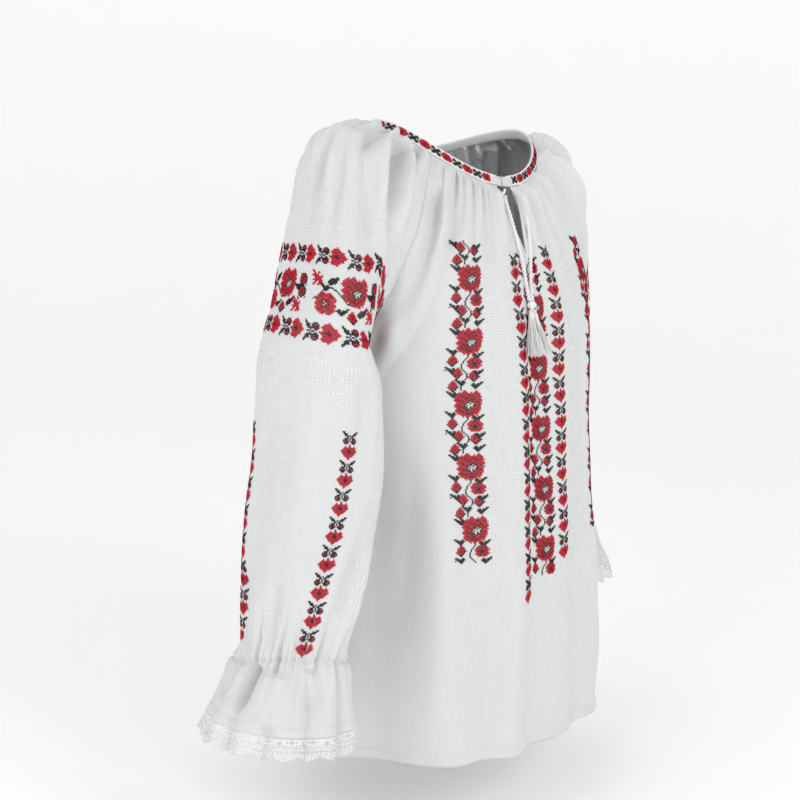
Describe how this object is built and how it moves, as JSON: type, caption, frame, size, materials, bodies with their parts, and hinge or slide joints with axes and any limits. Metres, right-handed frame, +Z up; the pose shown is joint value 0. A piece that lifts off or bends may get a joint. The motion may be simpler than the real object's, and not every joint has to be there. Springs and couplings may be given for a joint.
{
  "type": "romanian ie blouse",
  "caption": "Long-sleeved folk blouse with a gathered neckline, raglan sleeves, ruffled lace cuffs, cross-stitch embroidery and a tasselled tie cord, in its worn form.",
  "frame": {"origin": "middle of the shoulder line, where the blouse hangs on its wearer, level with the top of the shoulders", "axes": "+Z up, the front faces -Y, the wearer's left sleeve is on the +X side"},
  "size_m": [0.7469, 0.3458, 0.6458],
  "materials": {
    "cloth": "matte off-white plain weave",
    "band": "matte cloth with red and black cross-stitch",
    "lace": "matte white cotton lace",
    "cord": "soft white twisted cotton"
  },
  "bodies": {
    "root": {"front": "cloth", "back": "cloth", "sleeve_right": "cloth", "sleeve_left": "cloth", "neckband": "band", "lace_right": "lace", "lace_left": "lace", "cord_right": "cord", "cord_left": "cord", "cord_knot": "cord", "tassel_right": "cord", "tassel_left": "cord"}
  },
  "joints": []
}
